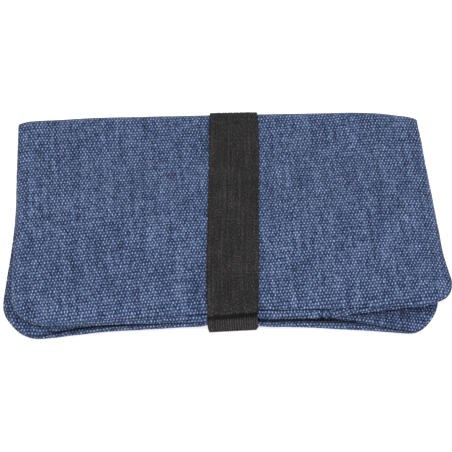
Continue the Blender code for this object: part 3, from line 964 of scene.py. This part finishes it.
def build_pockets(panel, side, pockets):
    """A panel's row of pockets: one cloth with a bound edge at the mouths, sewn down in lines."""
    up = np.array([0, 0, -panel.sign], float)
    depth = POCKET_Y[1] - POCKET_Y[0]

    def wave(y):
        return 0.7 * np.sin(math.pi * (y - POCKET_Y[0]) / depth * pockets) ** 2

    columns = np.linspace(*POCKET_X, 62)
    rows = np.linspace(*POCKET_Y, pockets * 8 + 1)
    x, y = np.meshgrid(columns, rows)
    mouth = smooth((x - POCKET_X[1] + 12) / 12)
    outside = pocket_surface(panel, x - wave(y) * mouth, y, pockets)
    inside = outside - up * POCKET_THICK
    uv = np.stack([x * 0.998 + y * 0.06, y - x * 0.05], 2)
    if panel.sign > 0:
        outside, inside, uv = (a[:, ::-1] for a in (outside, inside, uv))
    sheet = closed_mesh(side + "_pocket_cloth", outside, inside, uv, lining)
    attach(sheet, side)
    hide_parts(side + "_pocket_panel")
    # The tape folded over the mouths, and the line that holds it.
    x, y = np.meshgrid(POCKET_X[1] + EDGE_ACROSS, np.linspace(*POCKET_Y, pockets * 12 + 1))
    face = pocket_surface(panel, x - wave(y), y, pockets)
    uv = np.stack([x, y], 2)
    tape, top = edge_tape(side + "_mouth_tape", face, up, EDGE_ROUND, POCKET_THICK, uv, panel.sign > 0)
    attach(tape, side)
    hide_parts(side + "_pocket_binding")
    flat_of(outside)
    held = top[:, 1:3].mean(axis=1) if panel.sign < 0 else top[:, -3:-1].mean(axis=1)
    seam = stitches(side + "_mouth_stitches", [facing(held, up)], navy_thread)
    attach(seam, side)

    # Seams between the pockets, and up their closed end.
    line = np.linspace(POCKET_X[0] + 1.5, POCKET_X[1] - 2.8, 90)
    low, high = POCKET_Y[0] + 1.2, POCKET_Y[1] - 1.2
    paths = [(line, np.full(90, POCKET_Y[0] + k * (depth / pockets))) for k in range(1, pockets)]
    paths.append((np.full(90, POCKET_X[0] + 1.3), np.linspace(low, high, 90)))
    paths += [(line, np.full(90, end)) for end in (low, high)]
    laid = [facing(pocket_surface(panel, px[None], py[None], pockets)[0], up) for px, py in paths]
    seam = stitches(side + "_pocket_stitches", laid, navy_thread)
    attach(seam, side)
    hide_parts(side + "_pocket_stitching")


build_pockets(BASE, "base", 4)
build_pockets(COVER, "cover", 6)

# ---- flap over the brush heads

FLAP_X = (8.0, 104.5)
FLAP_Y = (-54.5, 52.5)
FLAP_THICK = 0.7
FLAP_SEWN_X = 102.4      # where the flap's root is sewn to the base's lining


def flap_surface(x, y):
    """Top of the flap: on the base's lining at its root, and over the pockets' mouths at its free edge."""
    spots = Spots(np.clip(x, None, 105.5), y)
    inner = BASE.layers(spots)[1].reshape(*x.shape, 3)
    over = smooth((36 - x) / 12)
    ease = 0.22 * ripple(x.ravel(), y.ravel(), 21, 15.5).reshape(x.shape) * smooth((100 - x) / 20)
    lie = 0.1 + FLAP_THICK + 1.75 * over + ease * (1 - over) + 0.25 * smooth((100 - x) / 20)
    return inner + np.array([0, 0, 1]) * lie[..., None]


def build_flap():
    """The flap's cloth, its bound free edge, and the stitches that hold both."""
    up = np.array([0, 0, 1.0])
    columns = np.concatenate([np.linspace(FLAP_X[0], 98.6, 44), np.linspace(99.2, FLAP_X[1], 12)])
    x, y = np.meshgrid(columns, np.linspace(*FLAP_Y, 48))
    y = np.where(y < 0, y * (1 - 0.13 * smooth((x - 84) / 20)), y)
    top = flap_surface(x, y)
    bottom = top - up * FLAP_THICK
    slack = 2.4 * np.clip((x - 99.2) / 3.4, 0, 1)
    uv = np.stack([x * 0.997 + slack + y * 0.07, y - x * 0.06 + 300], 2)
    sheet = closed_mesh("guard_flap_cloth", top, bottom, uv, lining)
    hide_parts("guard_flap")
    cloth = flat_of(top)

    x, y = np.meshgrid(FLAP_X[0] - EDGE_ACROSS[::-1], np.linspace(*FLAP_Y, 60))
    face, uv = flap_surface(x, y), np.stack([x, y], 2)
    tape, upper = edge_tape("flap_edge_tape", face, up, EDGE_ROUND[::-1], FLAP_THICK, uv)
    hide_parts("flap_binding")
    line = upper[:, -3:-1].mean(axis=1)
    seam = stitches("flap_edge_stitches", [facing(line, up)], navy_thread)
    root_y = np.linspace(FLAP_Y[0] + 8, FLAP_Y[1] - 1, 70)[None]
    root = flap_surface(np.full_like(root_y, FLAP_SEWN_X), root_y)[0]
    sewn = stitches("flap_root_stitches", [facing(root, up)], navy_thread)
    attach(sewn, "base")
    for piece in (sheet, tape, seam):
        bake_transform(piece)


build_flap()

# ---- the elastic band

BAND = 0.9
BAND_LIFT = 0.25         # how far it stands off the cloth
BAND_SEWN = FOLD - 2.6   # where it leaves the frame on the fold and can be lifted
RIBS = 21
ACROSS = np.concatenate([[-1, -0.985, -0.965], np.linspace(-0.945, 0.945, 85), [0.965, 0.985, 1]])


def band_centre(y):
    """The band runs a little askew over the cover."""
    return through(y, (-62, 4.75), (-40, 5.2), (5, 6.45), (50, 7.8), (66, 7.9))


def band_half(y):
    return through(y, (-63, 12.75), (-56, 12.95), (5, 12.95), (50, 12.9), (60, 12.75), (68, 12.35))


def on_panel(panel, x, y, turn):
    """Points of a panel's outside whose true x is given, at its flat y and turn."""
    flat = x.copy()
    for _ in range(4):
        spots = Spots(flat, y, turn)
        flat = flat + (x - panel.plan(spots)[0].reshape(x.shape))
    return panel.layers(Spots(flat, y, turn))[0].reshape(*x.shape, 3)


def band_thickness(rib):
    """Thickness across the band: soft selvedges, and rib millimetres of relief along it."""
    edge = np.clip((1 - np.abs(ACROSS)) / 0.06, 0, 1)
    selvedge = np.sqrt(np.clip(1 - (1 - edge) ** 2, 0, 1))
    relief = rib * (np.abs(np.cos(ACROSS * RIBS * math.pi / 2)) ** 0.7 - 1) * smooth(edge)
    return 0.35 + (BAND - 0.35) * selvedge + relief


def band_mesh(name, inside, material, rib, waver=0.0, out=1):
    """A closed band whose inner face is a grid of points, (rows, ACROSS, 3)."""
    up = normals(inside) * out
    thick = band_thickness(rib)[None, :, None]
    if waver:
        rows, columns = inside.shape[:2]
        a, b = np.meshgrid(ACROSS * 12.5, np.arange(rows) * 2.0)
        thick = thick + waver * ripple(a.ravel(), b.ravel(), 6, 21.5).reshape(rows, columns)[..., None]
    outside = inside + up * thick
    uv = lengths(inside) - np.array([12.7, 0])
    if out > 0:
        return closed_mesh(name, outside, inside, uv, material), outside, up
    return closed_mesh(name, *(a[:, ::-1] for a in (outside, inside, uv)), material), outside, up


def band_grid(panel, ys, turns):
    """Inner face of the band over a panel, at flat places ys and turns round the fold."""
    true_y = np.array(ys) + np.where(np.array(turns) > 0, 4, 0)
    x = band_centre(true_y)[:, None] + band_half(true_y)[:, None] * ACROSS[None]
    y = np.repeat(np.array(ys, float)[:, None], len(ACROSS), 1)
    turn = np.repeat(np.array(turns, float)[:, None], len(ACROSS), 1)
    return on_panel(panel, x, y, turn)


def declare_band(nodes, inside):
    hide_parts(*nodes)
    flat_of(inside)


quarter = np.linspace(0, math.pi / 2, 13)

# Under the base.
ys = np.linspace(FRONT + 2.2, FOLD, 60)
under_inside = band_grid(BASE, ys, 0 * ys) - np.array([0, 0, 0.06])
under, _, _ = band_mesh("band_underside", under_inside, elastic, 0.05, out=-1)
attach(under, "base")

# Round the spine, in two halves.
inside = band_grid(BASE, np.full(13, FOLD), np.maximum(quarter, 1e-3))
up = normals(inside) * -1
band, around, around_up = band_mesh("band_spine_lower", inside + up * BAND_LIFT, elastic, 0.05, out=-1)
join_base(band)
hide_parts("band_spine_run")
declare_band(["band_lower_run"], under_inside)
inside = band_grid(COVER, np.full(13, FOLD), np.maximum(quarter, 1e-3))
sewn_y = np.array([FOLD - 1.2, BAND_SEWN])
sewn = band_grid(COVER, sewn_y, 0 * sewn_y)
inside = np.concatenate([inside[::-1], sewn])
up = normals(inside) * -1
inside = inside + up * BAND_LIFT
band, upper_back, upper_up = band_mesh("band_spine_upper", inside, elastic, 0.05, out=-1)
join_cover(band)
declare_band(["band_cover_run"], inside)

# Over the cover, down past its front seam.
ys = np.linspace(BAND_SEWN, FRONT + 9, 68)
inside = band_grid(COVER, ys, 0 * ys)
up = normals(inside) * -1
inside = inside + up * BAND_LIFT
start, before = inside[-1], inside[-3]
end = np.zeros_like(start)
end[:, 0] = band_centre(-62) + band_half(-62) * ACROSS
end[:, 1] = -61.8 + 0.75 * ACROSS
end[:, 2] = 12.05 + 0.6 * ACROSS - 0.2 * ACROSS**2
leave = unit(start - before) * 11.0
arrive = np.array([0, -2.6, -5.2])
lip_rows = []
for t in np.linspace(0.1, 1, 12):
    lip_rows.append(
        (2 * t**3 - 3 * t**2 + 1) * start + (t**3 - 2 * t**2 + t) * leave
        + (3 * t**2 - 2 * t**3) * end + (t**3 - t**2) * arrive
    )
inside = np.concatenate([inside, np.array(lip_rows)])
strap, strap_out, strap_up = band_mesh("strap_over_cover", inside, elastic, 0.04, waver=0.05, out=-1)
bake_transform(strap)
strap_inside, strap_up = inside, -strap_up

# The ribbed run that rises in front of the panels.
profile = np.array([
    (-62.9, 0.12), (-63.2, 0.15), (-63.35, 0.45), (-63.3, 1.2), (-63.1, 2.2), (-62.8, 3.6), (-62.4, 5.2),
    (-61.9, 7.0), (-61.3, 8.7), (-60.7, 10.1), (-60.35, 11.1), (-60.2, 11.7), (-60.1, 12.3),
])
half = through(profile[:, 1], (0, 11.9), (1.5, 12.3), (5, 12.5), (12, 12.5))
centre = through(profile[:, 1], (0, 4.75), (5, 4.6), (12, 4.7))
inside = np.zeros((len(profile), len(ACROSS), 3))
inside[..., 0] = centre[:, None] + half[:, None] * ACROSS
inside[..., 1] = profile[:, :1] + through(profile[:, 1:], (0, 0.5), (12, 0.75)) * ACROSS
inside[..., 2] = profile[:, 1:]
tail, tail_out, tail_up = band_mesh("ribbed_tail", inside, ribbed, 0.26, out=1)
# Painted shadow under the lip: the top of the ribbed run is painted darker, down to a ragged edge.
at = np.array([v.co for v in tail.data.vertices]) / MM
ragged = 0.45 * ripple(at[:, 0], 0 * at[:, 0], 1.7, 5.3) + 0.3 * ripple(at[:, 0], 0 * at[:, 0], 6, 2.1)
sink(tail, 0.85 * smooth((at[:, 2] - 7.7 - ragged) / 1.2))
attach(tail, "tail")


def tape_on(name, grid, up, thick, node):
    """A strip of hook or loop tape standing on a band's face."""
    grid, up = grid[:, 3:-3], up[:, 3:-3]
    top = grid + up * thick
    if np.cross(grid[0, 1] - grid[0, 0], grid[1, 0] - grid[0, 0]) @ up[0, 0] < 0:
        grid, top = grid[:, ::-1], top[:, ::-1]
    obj = closed_mesh(name, top, grid, lengths(grid), hook_loop)
    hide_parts(node)
    return obj


loop = tape_on("loop_patch", tail_out[-3:], tail_up[-3:], 0.12, "loop_tape")
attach(loop, "tail")
# The hook tape runs on a ragged millimetre or two past the lip's end: that dark strip stands in for the lip's shadow,
# as painted shadow beside the real tape.
ragged = 1.5 + 0.5 * ripple(ACROSS * 12, ACROSS * 0, 1.7, 3.3) + 0.4 * ripple(ACROSS * 12, ACROSS * 0, 7, 8.3)
ragged *= 1 - 0.45 * smooth((ACROSS + 0.2) / 1.0)
below_lip = strap_inside[-1] + unit(strap_inside[-1] - strap_inside[-3]) * ragged[:, None]
hook_rows = np.concatenate([strap_inside[-4:], below_lip[None]])
hook_up = np.concatenate([strap_up[-4:], strap_up[-1:]])
hook = tape_on("hook_patch_and_lip_shadow", hook_rows - hook_up * 0.15, hook_up, 0.4, "hook_tape")
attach(hook, "strap")
declare_band(["elastic_tail"], inside)
declare_band(["strap_upper_run", "strap_end_hem"], strap_inside)

# The line that holds the lip's turned end, and the frame that anchors the band to the spine.
line = strap_out[-6, 14:-14]
seam = stitches("lip_stitches", [(line, strap_up[-6, 14:-14])], black_thread, 2.0, 0.8, 0.16)
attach(seam, "strap")
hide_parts("strap_hem_stitching")


def frame(grid, up, row):
    """Stitch lines across the band at a row, and from there along both of its sides."""
    left, right = 12, len(ACROSS) - 13
    sides = [(grid[row:, at], -up[row:, at]) for at in (left, right)]
    return [(grid[row, left:right], -up[row, left:right]), *sides]


frame_low = frame(around, around_up, 7)
frame_high = frame(upper_back[:13], upper_up[:13], 5)
seam_low = stitches("anchor_stitches_lower", frame_low, black_thread, 2.2, 0.8, 0.2)
join_base(seam_low)
seam_high = stitches("anchor_stitches_upper", frame_high, black_thread, 2.2, 0.8, 0.2)
join_cover(seam_high)
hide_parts("band_anchor_stitching")

# ---- stage, light and camera


def floor():
    mesh = bpy.data.meshes.new("floor")
    r = 3.0
    z = -0.0009
    mesh.from_pydata([(-r, -r, z), (r, -r, z), (r, r, z), (-r, r, z)], [], [(0, 1, 2, 3)])
    obj = bpy.data.objects.new("floor", mesh)
    bpy.context.scene.collection.objects.link(obj)
    g = Graph("pale_floor")
    g.shader.inputs["Base Color"].default_value = (0.60, 0.60, 0.60, 1)
    g.shader.inputs["Roughness"].default_value = 1.0
    g.shader.inputs["Specular IOR Level"].default_value = 0.0
    g.shader.inputs["Emission Color"].default_value = (1, 1, 1, 1)
    g.shader.inputs["Emission Strength"].default_value = 0.62
    mesh.materials.append(g.material)


def lamp(name, place, aim, size, power):
    data = bpy.data.lights.new(name, "AREA")
    data.shape = "RECTANGLE"
    data.size, data.size_y = size
    data.energy = power
    obj = bpy.data.objects.new(name, data)
    obj.location = place
    obj.rotation_euler = (Vector(aim) - Vector(place)).to_track_quat("-Z", "Y").to_euler()
    bpy.context.scene.collection.objects.link(obj)


def camera():
    data = bpy.data.cameras.new("camera")
    data.sensor_width = 36
    data.lens = 218.5
    obj = bpy.data.objects.new("camera", data)
    elevation, azimuth, distance = math.radians(53), math.radians(-1.2), 1.4
    target = Vector((0.0025, -0.0035, 0.007))
    back = Vector((
        math.sin(azimuth) * math.cos(elevation),
        -math.cos(azimuth) * math.cos(elevation),
        math.sin(elevation),
    ))
    obj.location = target + back * distance
    obj.rotation_euler = (-back).to_track_quat("-Z", "Y").to_euler()
    data.clip_start = 0.01
    bpy.context.scene.collection.objects.link(obj)
    bpy.context.scene.camera = obj


floor()
camera()
lamp("key", (-0.5, -0.6, 1.3), (0, 0, 0), (1.4, 1.4), 14)
lamp("fill", (0.9, -0.3, 1.0), (0, 0, 0), (1.4, 1.4), 8)
lamp("back", (0.1, 1.0, 1.1), (0, 0, 0), (1.6, 1.2), 6)
lamp("front", (0.0, -1.5, 0.35), (0, 0, 0.01), (1.6, 0.5), 6)
world = bpy.data.worlds.new("studio")
world.use_nodes = True
world.node_tree.nodes["Background"].inputs[0].default_value = (1, 1, 1, 1)
world.node_tree.nodes["Background"].inputs[1].default_value = 0.55
bpy.context.scene.world = world
bpy.context.scene.view_settings.view_transform = "Standard"

bpy.context.view_layer.update()
